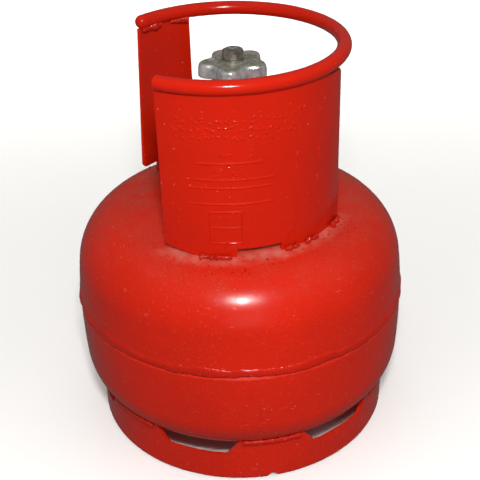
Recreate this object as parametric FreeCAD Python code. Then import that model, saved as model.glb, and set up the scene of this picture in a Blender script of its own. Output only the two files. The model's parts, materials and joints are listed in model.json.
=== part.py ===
import FreeCAD, Part
import math
import os

from FreeCAD import Vector

# A small refillable LPG cylinder: deep-drawn two-piece steel tank, foot ring,
# valve guard with carrying ring, and a hand-wheel shut-off valve.
# Millimetres.  The origin is the bottom centre of the foot ring, +Z is up,
# -Y is the front.  Azimuths are in degrees from -Y, positive towards +X.

# How far cutting tools run past what they cut, and a level above everything
OVERRUN = 10.0
ABOVE_ALL = 300.0

# Tank
TANK_RADIUS = 111.0
SHELL_WALL = 2.5
LOWER_TANGENT_Z = 78.2
UPPER_TANGENT_Z = 85.5
# each head: wall arc radius and end angle, knuckle radius and end angle
LOWER_HEAD = (410.0, 3.4, 31.2, 71.2)
UPPER_HEAD = (287.0, 7.4, 38.2, 79.2)

# Girth joint: the lower shell is joggled to slide inside the upper one
SEAM_Z = 96.4
SEAM_EDGE_RISE = 1.0
JOGGLE_DROP = 5.2
JOGGLE_RISE = 4.6
JOGGLE_INNER_RISE = 0.6
LAP_HEIGHT = 9.0
LAP_RADIUS = 107.7
GIRTH_BEAD_HALF_WIDTH = 3.6
GIRTH_BEAD_PROUD = 1.2
GIRTH_LOW_TOE_SINK = 0.8

# Foot ring: a strip punched at a regular pitch, rolled up and butt-welded
FOOT_RADIUS = 101.2
FOOT_WALL = 2.5
FOOT_LIP_WIDTH = 8.0
FOOT_BEND_RADIUS = 3.0
FOOT_STRIP_TOP_Z = 39.6
NOTCH_COUNT = 6
NOTCH_PITCH = 57.3
NOTCH_PHASE = -18.4
NOTCH_BASE_Z = 21.6
NOTCH_TOP_Z = 34.6
NOTCH_BASE_HALF_ANGLE = 11.2
NOTCH_TOP_HALF_ANGLE = 17.0
NOTCH_CORNER_RADIUS = 2.0
DRAIN_WIDTH = 7.0
DRAIN_HEIGHT = 4.4
FOOT_BEAD_RADIUS = 2.4
FOOT_BEAD_OFFSET = 0.5
FOOT_BEAD_DROP = 0.5
FOOT_BEAD_END_MARGIN = 1.6
FOOT_JOINT_GAP = 1.4
FOOT_JOINT_CROWN_RADIUS = 2.6
FOOT_JOINT_CROWN_DEPTH = 1.5
FOOT_JOINT_ROOT_PROUD = 0.8
FOOT_JOINT_CLEARANCE = 3.0

# Valve guard: two curved plates on one axis, which stands beside the tank's
GUARD_X = -4.2
GUARD_RADIUS = 73.9
GUARD_WALL = 2.5
FRONT_PLATE_SPAN = (-34.4, 68.5)
REAR_PLATE_SPAN = (-159.8, -122.0)
REAR_PLATE_TOP_END = -127.2
PLATE_BASE_Z = 140.0
PLATE_TOP_Z = 261.4
PLATE_CORNER_RADIUS = 5.0
PLATE_TOP_CORNER_RADIUS = 7.0
PLATE_BEAD_OFFSET = 0.5
PLATE_BEAD_OUTSIDE = 2.5
PLATE_BEAD_INSIDE = 2.4
PLATE_INSIDE_BEAD_HALF_SPAN = 5.0
RING_BEAD_RADIUS = 2.2
RING_BEAD_INSET = 0.6
RING_BEAD_RISE = 0.2
FRONT_TAB_SPAN = (-14.8, 2.5)
PLATE_SLOT_SPAN = (2.5, 24.4)
PLATE_SLOT_TOP_Z = 161.0
PLATE_CORNER_Z = 160.2
REAR_TAB_SPAN = (-152.0, -134.0)
REAR_EDGE_Z = 162.0

# Carrying ring: a round rod bent to an open C on top of the plates
ROD_RADIUS = 4.5
RING_RADIUS = 72.4
RING_Z = 264.4
RING_SPAN = (-33.6, 229.2)
RING_END_SOFTENING = 1.2

# Valve boss, welded into the dome
BOSS_RADIUS = 22.0
BOSS_BASE_Z = 154.5
BOSS_TOP_Z = 172.0
BOSS_CHAMFER = 1.5
BOSS_BEAD_RADIUS = 3.0
BOSS_BEAD_OFFSET = 0.8
BOSS_BEAD_RISE = 0.4
STEM_TOP_RADIUS = 13.9
STEM_TAPER = 0.06

# Valve body
STEM_BASE_Z = 150.0
FLATS_WIDTH = 32.0
FLATS_BASE_Z = 172.6
FLATS_TOP_Z = 184.0
FLATS_CORNER_RADIUS = 19.8
COLUMN_RADIUS = 14.0
COLUMN_TOP_Z = 230.0
INLET_RADIUS = 3.5
SEAT_Z = 198.0
CHAMBER_RADIUS = 7.0
PLUG_BORE_BASE_Z = 208.5
PLUG_THREAD_RADIUS = 8.5
BONNET_BORE_BASE_Z = 223.0
BONNET_THREAD_RADIUS = 11.0
OUTLET_Z = 203.5
OUTLET_THREAD_RADIUS = 10.9
OUTLET_THREAD_LENGTH = 15.0
OUTLET_FACE_X = -37.0
OUTLET_BORE_RADIUS = 3.8
OUTLET_RECESS_RADIUS = 7.0
OUTLET_RECESS_DEPTH = 3.0
OUTLET_NECK_DEPTH = 1.4
OUTLET_GASKET_SINK = 0.4

# Bonnet nut, packing and spindle
BONNET_HEX_WIDTH = 27.0
BONNET_TOP_Z = 240.5
BONNET_CHAMFER = 1.6
BONNET_BORE_MARGIN = 1.0
GASKET_HEIGHT = 0.8
COLLAR_RADIUS = 7.0
COLLAR_BASE_Z = 223.4
COLLAR_TOP_Z = 226.2
PACKING_TOP_Z = 229.2
SPINDLE_RADIUS = 4.0
RUNNING_CLEARANCE = 0.05
TANG_WIDTH = 6.0
TANG_BASE_Z = 212.8
SQUARE_WIDTH = 6.4
SQUARE_BASE_Z = 244.0
SQUARE_TOP_Z = 254.2
SPINDLE_END_Z = 260.2

# Threaded plug with its seat disc, shown closed
PLUG_NOSE_RADIUS = 5.5
DISC_RADIUS = 5.0
DISC_HEIGHT = 3.0
PLUG_THREAD_BASE_Z = 209.0
PLUG_TOP_Z = 218.5
PLUG_LIFT = 3.75
PLUG_LIP = 0.6
SLOT_CLEARANCE = 0.4
SLOT_FLOOR_CLEARANCE = 0.3

# Hand-wheel
WHEEL_BASE_Z = 245.2
WHEEL_TOP_Z = 254.2
LOBE_COUNT = 5
LOBE_PHASE = -8.0
LOBE_CENTRE_RADIUS = 15.8
LOBE_RADIUS = 6.6
SCALLOP_CENTRE_RADIUS = 22.4
SCALLOP_RADIUS = 6.4
WHEEL_RIM_WALL = 3.2
WHEEL_WEB = 3.4
WHEEL_HUB_RADIUS = 7.6
WHEEL_EDGE_RADIUS = 1.4
WHEEL_DISH_DEPTH = 0.9
WHEEL_CORE_EXTRA = 1.5
DISH_INNER_SLOPE = 1.5
DISH_FLOOR_RADIUS = 13.0
DISH_RADIUS = 15.0
WASHER_RADIUS = 6.9
WASHER_HEIGHT = 1.2
WASHER_SPLIT = 1.0
WASHER_CLEARANCE = 0.1
WHEEL_NUT_WIDTH = 12.0
WHEEL_NUT_TOP_Z = 260.8
WHEEL_NUT_CHAMFER = 0.9
WHEEL_NUT_AZIMUTH = 16.0
BONNET_NUT_AZIMUTH = 30.0
# a nut's chamfer starts at this share of the way out to its corners
HEX_CHAMFER_REACH = 1.125

# Stitch welds of the guard plates, as azimuth spans
FRONT_FOOT_WELDS = [(-14.0, -9.5), (-6.5, -1.5), (27.0, 32.0), (38.0, 43.5), (58.0, 65.0)]
REAR_FOOT_WELDS = [(-150.5, -146.0), (-141.0, -137.0)]
FRONT_RING_WELDS = [(-31.0, -22.0), (8.0, 20.0), (52.0, 64.0)]
REAR_RING_WELDS = [(-158.0, -150.0), (-141.0, -130.0)]

AXIS = Vector(0, 0, 1)
ORIGIN = Vector(0, 0, 0)


def math_angle(azimuth):
    """Angle from +X for an azimuth measured from -Y towards +X."""
    return azimuth - 90.0


def polar(radius, azimuth, z, centre_x=0.0):
    angle = math.radians(math_angle(azimuth))
    return Vector(centre_x + radius * math.cos(angle), radius * math.sin(angle), z)


def spin(outline, azimuth_span=None, centre_x=0.0):
    """Turn a closed outline in the XZ plane about a vertical axis."""
    face = Part.Face(Part.Wire(outline))
    face.translate(Vector(centre_x, 0, 0))
    centre = Vector(centre_x, 0, 0)
    if azimuth_span is None:
        return face.revolve(centre, AXIS, 360.0)
    start, end = azimuth_span
    face.rotate(centre, AXIS, math_angle(start))
    return face.revolve(centre, AXIS, end - start)


def outline(points):
    """Straight edges through (radius, z) points, closed."""
    corners = [Vector(r, 0, z) for r, z in points]
    closed = corners + [corners[0]]
    return [Part.makeLine(a, b) for a, b in zip(closed, closed[1:])]


def band(inner, outer, low, high, azimuth_span=None, centre_x=0.0):
    """A ring or a sector of one, with a rectangular section."""
    corners = [(inner, low), (outer, low), (outer, high), (inner, high)]
    return spin(outline(corners), azimuth_span, centre_x)


def disc(radius, low, high, centre=ORIGIN):
    return Part.makeCylinder(radius, high - low, Vector(centre.x, centre.y, low))


def bead(radius, z, section_radius, azimuth_span=None, centre_x=0.0):
    """A round-section weld bead on a horizontal circle, with domed ends."""
    circle = Part.makeCircle(section_radius, Vector(radius, 0, z), Vector(0, 1, 0))
    ring = spin([circle], azimuth_span, centre_x)
    if azimuth_span is None:
        return ring
    for azimuth in azimuth_span:
        tip = Part.makeSphere(section_radius, polar(radius, azimuth, z, centre_x))
        ring = ring.fuse(tip)
    return ring.removeSplitter()


def radial_prism(azimuth, corners, near, far, centre_x=0.0):
    """A prism along the radius at an azimuth, from (sideways, z) corners."""
    points = [Vector(near, side, z) for side, z in corners]
    face = Part.Face(Part.makePolygon(points + [points[0]]))
    prism = face.extrude(Vector(far - near, 0, 0))
    prism.rotate(ORIGIN, AXIS, math_angle(azimuth))
    prism.translate(Vector(centre_x, 0, 0))
    return prism


def hexagon(width, low, high, azimuth=0.0):
    """A hexagonal prism on the tank's axis, width measured across flats."""
    corner = width / math.sqrt(3.0)
    points = [polar(corner, azimuth + 60.0 * i, low) for i in range(7)]
    return Part.Face(Part.makePolygon(points)).extrude(Vector(0, 0, high - low))


def square(width, low, high):
    half = width / 2.0
    return Part.makeBox(width, width, high - low, Vector(-half, -half, low))


def chamfered(prism, radius, low, high, drop):
    """Cut a prism's corners back to a cone at both ends, as on a nut."""
    rise = drop * math.tan(math.radians(30))
    rim = [(0, low), (radius - drop, low), (radius, low + rise),
           (radius, high - rise), (radius - drop, high), (0, high)]
    return prism.common(spin(outline(rim)))


# ---- tank -------------------------------------------------------------------

def head_arcs(tangent_z, sign, head, inset):
    """Arcs of one head from the wall to the axis, and the pole's height."""
    wall_radius, wall_end, knuckle_radius, knuckle_end = head
    wall = math.radians(wall_end)
    knuckle = math.radians(knuckle_end)
    wall_centre = (TANK_RADIUS - wall_radius, 0.0)
    step = wall_radius - knuckle_radius
    knuckle_centre = (wall_centre[0] + step * math.cos(wall), step * math.sin(wall))
    crown_radius = knuckle_radius + knuckle_centre[0] / math.cos(knuckle)
    crown_drop = (crown_radius - knuckle_radius) * math.sin(knuckle)
    crown_centre = (0.0, knuckle_centre[1] - crown_drop)
    stretches = [(wall_centre, wall_radius, 0.0, wall),
                 (knuckle_centre, knuckle_radius, wall, knuckle),
                 (crown_centre, crown_radius, knuckle, math.pi / 2)]
    arcs = []
    for centre, radius, start, end in stretches:
        middle = (start + end) / 2
        points = []
        for angle in (start, middle, end):
            r = centre[0] + (radius - inset) * math.cos(angle)
            z = centre[1] + (radius - inset) * math.sin(angle)
            points.append(Vector(max(r, 0.0), 0, tangent_z + sign * z))
        arcs.append(Part.Arc(*points).toShape())
    return arcs, points[-1].z


def tank_solid(inset):
    """The whole tank as one solid, its surface moved inwards by inset."""
    radius = TANK_RADIUS - inset
    lower, bottom = head_arcs(LOWER_TANGENT_Z, -1, LOWER_HEAD, inset)
    upper, top = head_arcs(UPPER_TANGENT_Z, 1, UPPER_HEAD, inset)
    wall = Part.makeLine(Vector(radius, 0, LOWER_TANGENT_Z), Vector(radius, 0, UPPER_TANGENT_Z))
    axis = Part.makeLine(Vector(0, 0, top), Vector(0, 0, bottom))
    return spin(lower[::-1] + [wall] + upper + [axis])


TANK = tank_solid(0.0)
CAVITY = tank_solid(SHELL_WALL)


def dome_height(radius):
    """Height of the tank's top surface at a distance from its axis."""
    line = Part.makeLine(Vector(radius, 0, SEAM_Z), Vector(radius, 0, ABOVE_ALL))
    return max(v.Z for v in TANK.common(line).Vertexes)


def base_height(radius):
    """Height of the tank's lower surface at a distance from its axis."""
    line = Part.makeLine(Vector(radius, 0, LOWER_TANGENT_Z), Vector(radius, 0, 0))
    return min(v.Z for v in TANK.common(line).Vertexes)


def wall_radius(z):
    """The tank's outer radius at a height on the upper wall arc."""
    arc = UPPER_HEAD[0]
    return TANK_RADIUS - arc + math.sqrt(arc ** 2 - (z - UPPER_TANGENT_Z) ** 2)


def upper_shell():
    keep = disc(TANK_RADIUS + OVERRUN, SEAM_Z + SEAM_EDGE_RISE, ABOVE_ALL)
    hole = disc(BOSS_RADIUS, SEAM_Z, ABOVE_ALL)
    return TANK.cut(CAVITY).common(keep).cut(hole)


def lower_shell():
    joggle_base = SEAM_Z - JOGGLE_DROP
    joggle_top = joggle_base + JOGGLE_RISE
    lap_top = joggle_top + LAP_HEIGHT
    bowl = TANK.cut(CAVITY).common(disc(TANK_RADIUS + OVERRUN, 0, joggle_base))
    inner = LAP_RADIUS - SHELL_WALL
    outer = wall_radius(joggle_base)
    joggle = [(outer - SHELL_WALL, joggle_base), (outer, joggle_base),
              (LAP_RADIUS, joggle_top), (LAP_RADIUS, lap_top),
              (inner, lap_top), (inner, joggle_top + JOGGLE_INNER_RISE)]
    return bowl.fuse(spin(outline(joggle))).removeSplitter()


def girth_weld():
    """Fills the corner over the joggle and laps on to the upper shell's edge."""
    low = SEAM_Z - GIRTH_BEAD_HALF_WIDTH
    high = SEAM_Z + GIRTH_BEAD_HALF_WIDTH
    edge_z = SEAM_Z + SEAM_EDGE_RISE
    joggle_base = SEAM_Z - JOGGLE_DROP
    share = (low - joggle_base) / JOGGLE_RISE
    outer = wall_radius(joggle_base)
    on_slope = Vector(outer + (LAP_RADIUS - outer) * share, 0, low)
    toe_low = Vector(wall_radius(low) - GIRTH_LOW_TOE_SINK, 0, low)
    crest = Vector(wall_radius(SEAM_Z) + GIRTH_BEAD_PROUD, 0, SEAM_Z)
    wall = [Vector(wall_radius(z), 0, z) for z in (high, (high + edge_z) / 2, edge_z)]
    corner = Vector(LAP_RADIUS, 0, edge_z)
    root = Vector(LAP_RADIUS, 0, joggle_base + JOGGLE_RISE)
    edges = [Part.Arc(toe_low, crest, wall[0]).toShape(), Part.Arc(*wall).toShape(),
             Part.makeLine(wall[2], corner), Part.makeLine(corner, root),
             Part.makeLine(root, on_slope), Part.makeLine(on_slope, toe_low)]
    return spin(edges)


def biggest(shape):
    """The largest solid of a cut's result."""
    return max(shape.Solids, key=lambda s: s.Volume)


# ---- foot -------------------------------------------------------------------

def notch_centres():
    first = NOTCH_PHASE - 2 * NOTCH_PITCH
    return [first + NOTCH_PITCH * i for i in range(NOTCH_COUNT)]


def land_spans():
    """Azimuth spans of the strip between notches, without the joint's land."""
    centres = notch_centres()
    half = NOTCH_TOP_HALF_ANGLE
    return [(a + half, b - half) for a, b in zip(centres, centres[1:])]


def foot_joint_azimuth():
    centres = notch_centres()
    return (centres[-1] + centres[0] + 360.0) / 2.0


def foot_section():
    """Outline of the strip with its lower edge turned inwards."""
    outer = FOOT_RADIUS
    inner = FOOT_RADIUS - FOOT_WALL
    lip = FOOT_RADIUS - FOOT_LIP_WIDTH
    bend = FOOT_BEND_RADIUS
    inner_bend = bend - FOOT_WALL
    diagonal = math.sqrt(0.5)
    centre_r = outer - bend
    outer_mid = Vector(centre_r + bend * diagonal, 0, bend - bend * diagonal)
    inner_mid = Vector(centre_r + inner_bend * diagonal, 0, bend - inner_bend * diagonal)
    top = FOOT_STRIP_TOP_Z
    return [Part.makeLine(Vector(lip, 0, 0), Vector(centre_r, 0, 0)),
            Part.Arc(Vector(centre_r, 0, 0), outer_mid, Vector(outer, 0, bend)).toShape(),
            Part.makeLine(Vector(outer, 0, bend), Vector(outer, 0, top)),
            Part.makeLine(Vector(outer, 0, top), Vector(inner, 0, top)),
            Part.makeLine(Vector(inner, 0, top), Vector(inner, 0, bend)),
            Part.Arc(Vector(inner, 0, bend), inner_mid, Vector(centre_r, 0, FOOT_WALL)).toShape(),
            Part.makeLine(Vector(centre_r, 0, FOOT_WALL), Vector(lip, 0, FOOT_WALL)),
            Part.makeLine(Vector(lip, 0, FOOT_WALL), Vector(lip, 0, 0))]


def notch_cutter(azimuth):
    base = FOOT_RADIUS * math.sin(math.radians(NOTCH_BASE_HALF_ANGLE))
    top = FOOT_RADIUS * math.sin(math.radians(NOTCH_TOP_HALF_ANGLE))
    slope = (top - base) / (NOTCH_TOP_Z - NOTCH_BASE_Z)
    over = top + slope * OVERRUN
    corners = [(-base, NOTCH_BASE_Z), (base, NOTCH_BASE_Z),
               (over, NOTCH_TOP_Z + OVERRUN), (-over, NOTCH_TOP_Z + OVERRUN)]
    near = FOOT_RADIUS - FOOT_LIP_WIDTH - OVERRUN
    cutter = radial_prism(90.0, corners, near, FOOT_RADIUS + OVERRUN)
    lowest = [e for e in cutter.Edges if is_corner_edge(e, NOTCH_BASE_Z)]
    cutter = cutter.makeFillet(NOTCH_CORNER_RADIUS, lowest)
    cutter.rotate(ORIGIN, AXIS, math_angle(azimuth))
    return cutter


def is_corner_edge(edge, z):
    """True for an edge at height z that runs along the prism's length."""
    start, end = [v.Point for v in edge.Vertexes][:2]
    level = abs(start.z - z) < 1e-6 and abs(end.z - z) < 1e-6
    return level and abs(start.x - end.x) < 1e-6


def drain_cutter(azimuth):
    """A half-oval notch through the lower edge, for water to run out."""
    half = DRAIN_WIDTH / 2
    near = FOOT_RADIUS - FOOT_LIP_WIDTH - OVERRUN
    far = FOOT_RADIUS + OVERRUN
    hole = Part.makeCylinder(half, far - near, Vector(near, 0, 0), Vector(1, 0, 0))
    hole = hole.transformGeometry(stretch_z(DRAIN_HEIGHT / half))
    hole.rotate(ORIGIN, AXIS, math_angle(azimuth))
    return hole


def stretch_z(factor):
    matrix = FreeCAD.Matrix()
    matrix.scale(1.0, 1.0, factor)
    return matrix


def foot_ring():
    joint = foot_joint_azimuth()
    half_gap = math.degrees(FOOT_JOINT_GAP / 2 / FOOT_RADIUS)
    strip = spin(foot_section(), (joint + half_gap, joint + 360 - half_gap))
    for azimuth in notch_centres():
        strip = strip.cut(notch_cutter(azimuth))
    for start, end in land_spans()[::2]:
        strip = strip.cut(drain_cutter((start + end) / 2))
    return biggest(strip.cut(TANK))


def foot_joint_weld(foot):
    """The upright butt weld that closes the rolled strip."""
    joint = foot_joint_azimuth()
    inner = FOOT_RADIUS - FOOT_WALL
    gap = math.degrees((FOOT_JOINT_GAP / 2) / FOOT_RADIUS)
    low = FOOT_BEND_RADIUS
    span = (joint - gap, joint + gap)
    fill = band(inner - FOOT_JOINT_ROOT_PROUD, FOOT_RADIUS, low, FOOT_STRIP_TOP_Z, span)
    centre = polar(FOOT_RADIUS - FOOT_JOINT_CROWN_DEPTH, joint, low)
    crown = Part.makeCylinder(FOOT_JOINT_CROWN_RADIUS, FOOT_STRIP_TOP_Z - low, centre)
    fill = fill.fuse(crown).removeSplitter()
    return biggest(fill.cut(foot).cut(TANK))


def foot_ring_welds(foot):
    """A bead along each land, under the overhang of the tank."""
    joint = foot_joint_azimuth()
    centres = notch_centres()
    half = NOTCH_TOP_HALF_ANGLE
    spans = land_spans()
    spans.append((centres[-1] + half, joint - FOOT_JOINT_CLEARANCE))
    spans.append((joint + FOOT_JOINT_CLEARANCE, centres[0] + 360 - half))
    beads = []
    radius = FOOT_RADIUS + FOOT_BEAD_OFFSET
    z = base_height(FOOT_RADIUS) - FOOT_BEAD_DROP
    for start, end in spans:
        margins = (start + FOOT_BEAD_END_MARGIN, end - FOOT_BEAD_END_MARGIN)
        run = bead(radius, z, FOOT_BEAD_RADIUS, margins)
        beads.append(biggest(run.cut(TANK).cut(foot)))
    return Part.makeCompound(beads)


# ---- valve guard ------------------------------------------------------------

def carrying_ring():
    circle = Part.makeCircle(ROD_RADIUS, Vector(RING_RADIUS, 0, RING_Z), Vector(0, 1, 0))
    rod = spin([circle], RING_SPAN, GUARD_X)
    front_end = polar(RING_RADIUS, RING_SPAN[0], RING_Z, GUARD_X)
    flat_edges = [e for e in rod.Edges if is_circle_at(e, front_end)]
    rod = rod.makeFillet(RING_END_SOFTENING, flat_edges)
    tip = Part.makeSphere(ROD_RADIUS, polar(RING_RADIUS, RING_SPAN[1], RING_Z, GUARD_X))
    return rod.fuse(tip).removeSplitter()


def is_circle_at(edge, centre):
    curve = edge.Curve
    return hasattr(curve, "Center") and curve.Center.distanceToPoint(centre) < 0.01


def guard_blank(span):
    inner = GUARD_RADIUS - GUARD_WALL
    return band(inner, GUARD_RADIUS, PLATE_BASE_Z, PLATE_TOP_Z, span, GUARD_X)


def guard_cutter(span, low, high):
    """A sector that clears the guard's wall between two heights."""
    return band(GUARD_RADIUS - OVERRUN, GUARD_RADIUS + OVERRUN, low, high, span, GUARD_X)


def slanted_corner_cutter(azimuth, sideways_to, z_far):
    """Takes the lower corner off a plate along a slanted line."""
    reach = GUARD_RADIUS * 2 * math.sin(math.radians(abs(sideways_to - azimuth) / 2))
    side = 1.0 if sideways_to > azimuth else -1.0
    low = PLATE_BASE_Z - OVERRUN
    outside = -side * OVERRUN
    corners = [(outside, low), (side * reach, low), (side * reach, z_far),
               (0, PLATE_CORNER_Z), (outside, PLATE_CORNER_Z)]
    middle = (azimuth + sideways_to) / 2
    shifted = [(a - side * reach / 2, z) for a, z in corners]
    return guard_prism(middle, shifted)


def guard_prism(azimuth, corners):
    """A prism through the guard's wall, along its radius at an azimuth."""
    far = GUARD_RADIUS + OVERRUN
    return radial_prism(azimuth, corners, GUARD_RADIUS - 2 * OVERRUN, far, GUARD_X)


def front_guard_plate(ring):
    plate = guard_blank(FRONT_PLATE_SPAN)
    corner = [e for e in plate.Edges if is_plate_corner(e, PLATE_TOP_Z, FRONT_PLATE_SPAN[1:])]
    plate = plate.makeFillet(PLATE_TOP_CORNER_RADIUS, corner)
    plate = plate.cut(guard_cutter(PLATE_SLOT_SPAN, 0, PLATE_SLOT_TOP_Z))
    tab_foot = dome_height(GUARD_RADIUS)
    plate = plate.cut(slanted_corner_cutter(FRONT_PLATE_SPAN[0], FRONT_TAB_SPAN[0], tab_foot))
    return biggest(plate.cut(TANK).cut(ring))


def rear_guard_plate(ring):
    plate = guard_blank(REAR_PLATE_SPAN)
    before = (REAR_PLATE_SPAN[0] - OVERRUN, REAR_TAB_SPAN[0])
    after = (REAR_TAB_SPAN[1], REAR_PLATE_SPAN[1] + OVERRUN)
    plate = plate.cut(guard_cutter(before, 0, REAR_EDGE_Z))
    plate = plate.cut(guard_cutter(after, 0, REAR_EDGE_Z))
    corners = [e for e in plate.Edges if is_plate_corner(e, REAR_EDGE_Z, REAR_PLATE_SPAN)]
    plate = plate.makeFillet(PLATE_CORNER_RADIUS, corners)
    plate = plate.cut(slanted_end_cutter(REAR_PLATE_SPAN[1], REAR_PLATE_TOP_END))
    return biggest(plate.cut(TANK).cut(ring))


def slanted_end_cutter(foot_azimuth, top_azimuth):
    """Takes a plate's end back along a line that leans as it rises."""
    middle = (foot_azimuth + top_azimuth) / 2
    half_turn = math.radians((foot_azimuth - top_azimuth) / 2)
    side = GUARD_RADIUS * math.sin(half_turn)
    beyond = side + OVERRUN
    corners = [(side, REAR_EDGE_Z), (-side, RING_Z), (beyond, RING_Z), (beyond, REAR_EDGE_Z)]
    return guard_prism(middle, corners)


def is_plate_corner(edge, z, span):
    """True for a short radial edge at one height on an end of a plate."""
    start, end = [v.Point for v in edge.Vertexes][:2]
    if abs(start.z - z) > 1e-6 or abs(end.z - z) > 1e-6:
        return False
    for azimuth in span:
        at = polar(GUARD_RADIUS, azimuth, z, GUARD_X)
        if min(start.distanceToPoint(at), end.distanceToPoint(at)) < 0.01:
            return start.distanceToPoint(end) < GUARD_WALL + 0.01
    return False


def stitch(azimuth_span, radius, section_radius, trims):
    """A short bead where a guard plate meets the dome."""
    middle = sum(azimuth_span) / 2
    at = polar(radius, middle, 0, GUARD_X)
    z = dome_height(math.hypot(at.x, at.y)) + PLATE_BEAD_OFFSET
    run = bead(radius, z, section_radius, azimuth_span, GUARD_X)
    for trim in trims:
        run = run.cut(trim)
    return biggest(run)


def guard_foot_welds(spans, plate):
    outside = GUARD_RADIUS + PLATE_BEAD_OFFSET
    inside = GUARD_RADIUS - GUARD_WALL - PLATE_BEAD_OFFSET
    beads = [stitch(span, outside, PLATE_BEAD_OUTSIDE, [TANK, plate]) for span in spans]
    middle = sum(spans[-1]) / 2
    half = PLATE_INSIDE_BEAD_HALF_SPAN
    beads.append(stitch((middle - half, middle + half), inside, PLATE_BEAD_INSIDE, [TANK, plate]))
    return Part.makeCompound(beads)


def ring_welds(spans, plate, ring):
    """Beads inside the plates, where the rod sits on their upper edge."""
    beads = []
    radius = GUARD_RADIUS - GUARD_WALL - RING_BEAD_INSET
    z = RING_Z - ROD_RADIUS + RING_BEAD_RISE
    for span in spans:
        run = bead(radius, z, RING_BEAD_RADIUS, span, GUARD_X)
        beads.append(biggest(run.cut(ring).cut(plate)))
    return Part.makeCompound(beads)


# ---- valve ------------------------------------------------------------------

def stem_cone(low, high):
    """The taper thread's cone between two heights."""
    bottom = STEM_TOP_RADIUS - STEM_TAPER * (BOSS_TOP_Z - low)
    top = STEM_TOP_RADIUS - STEM_TAPER * (BOSS_TOP_Z - high)
    return Part.makeCone(bottom, top, high - low, Vector(0, 0, low))


def valve_boss():
    shoulder = BOSS_TOP_Z - BOSS_CHAMFER
    outer = [(0, BOSS_BASE_Z), (BOSS_RADIUS, BOSS_BASE_Z), (BOSS_RADIUS, shoulder),
             (BOSS_RADIUS - BOSS_CHAMFER, BOSS_TOP_Z), (0, BOSS_TOP_Z)]
    return spin(outline(outer)).cut(stem_cone(BOSS_BASE_Z, BOSS_TOP_Z))


def boss_weld(boss):
    z = dome_height(BOSS_RADIUS) + BOSS_BEAD_RISE
    ring = bead(BOSS_RADIUS + BOSS_BEAD_OFFSET, z, BOSS_BEAD_RADIUS)
    return biggest(ring.cut(TANK).cut(boss))


def outlet_tube(radius, near, far):
    """A cylinder along -X at the outlet's height."""
    return Part.makeCylinder(radius, near - far, Vector(far, 0, OUTLET_Z), Vector(1, 0, 0))


def valve_body():
    body = stem_cone(STEM_BASE_Z, BOSS_TOP_Z).fuse(disc(STEM_TOP_RADIUS, BOSS_TOP_Z, FLATS_BASE_Z))
    flats = square(FLATS_WIDTH, FLATS_BASE_Z, FLATS_TOP_Z)
    flats = flats.common(disc(FLATS_CORNER_RADIUS, FLATS_BASE_Z, FLATS_TOP_Z))
    body = body.fuse(flats)
    body = body.fuse(disc(COLUMN_RADIUS, FLATS_TOP_Z, COLUMN_TOP_Z))
    thread_end = OUTLET_FACE_X + OUTLET_THREAD_LENGTH
    body = body.fuse(outlet_tube(OUTLET_THREAD_RADIUS, thread_end, OUTLET_FACE_X))
    body = body.fuse(outlet_tube(OUTLET_THREAD_RADIUS - OUTLET_NECK_DEPTH, 0, thread_end))
    body = body.cut(disc(INLET_RADIUS, STEM_BASE_Z, SEAT_Z))
    body = body.cut(disc(CHAMBER_RADIUS, SEAT_Z, PLUG_BORE_BASE_Z))
    body = body.cut(disc(PLUG_THREAD_RADIUS, PLUG_BORE_BASE_Z, BONNET_BORE_BASE_Z))
    body = body.cut(disc(BONNET_THREAD_RADIUS, BONNET_BORE_BASE_Z, COLUMN_TOP_Z))
    body = body.cut(outlet_tube(OUTLET_BORE_RADIUS, 0, OUTLET_FACE_X))
    recess_end = OUTLET_FACE_X + OUTLET_RECESS_DEPTH
    body = body.cut(outlet_tube(OUTLET_RECESS_RADIUS, recess_end, OUTLET_FACE_X))
    return body.removeSplitter()


def outlet_gasket():
    near = OUTLET_FACE_X + OUTLET_RECESS_DEPTH
    far = OUTLET_FACE_X + OUTLET_GASKET_SINK
    bore = outlet_tube(OUTLET_BORE_RADIUS, near, far)
    return outlet_tube(OUTLET_RECESS_RADIUS, near, far).cut(bore)


def bonnet_gasket():
    inner = COLLAR_RADIUS + BONNET_BORE_MARGIN
    low = BONNET_BORE_BASE_Z
    return band(inner, BONNET_THREAD_RADIUS, low, low + GASKET_HEIGHT)


def bonnet_nut():
    """Screws into the column and holds the spindle's collar down."""
    low = BONNET_BORE_BASE_Z + GASKET_HEIGHT
    shank = disc(BONNET_THREAD_RADIUS, low, COLUMN_TOP_Z)
    hexa = hexagon(BONNET_HEX_WIDTH, COLUMN_TOP_Z, BONNET_TOP_Z, BONNET_NUT_AZIMUTH)
    reach = BONNET_HEX_WIDTH / 2 * HEX_CHAMFER_REACH
    hexa = chamfered(hexa, reach, COLUMN_TOP_Z, BONNET_TOP_Z, BONNET_CHAMFER)
    nut = shank.fuse(hexa)
    nut = nut.cut(disc(COLLAR_RADIUS + BONNET_BORE_MARGIN, low, PACKING_TOP_Z))
    return nut.cut(disc(SPINDLE_RADIUS + RUNNING_CLEARANCE, low, BONNET_TOP_Z)).removeSplitter()


def spindle_packing():
    inner = SPINDLE_RADIUS + RUNNING_CLEARANCE
    outer = COLLAR_RADIUS + BONNET_BORE_MARGIN
    return band(inner, outer, COLLAR_TOP_Z + RUNNING_CLEARANCE, PACKING_TOP_Z)


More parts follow.
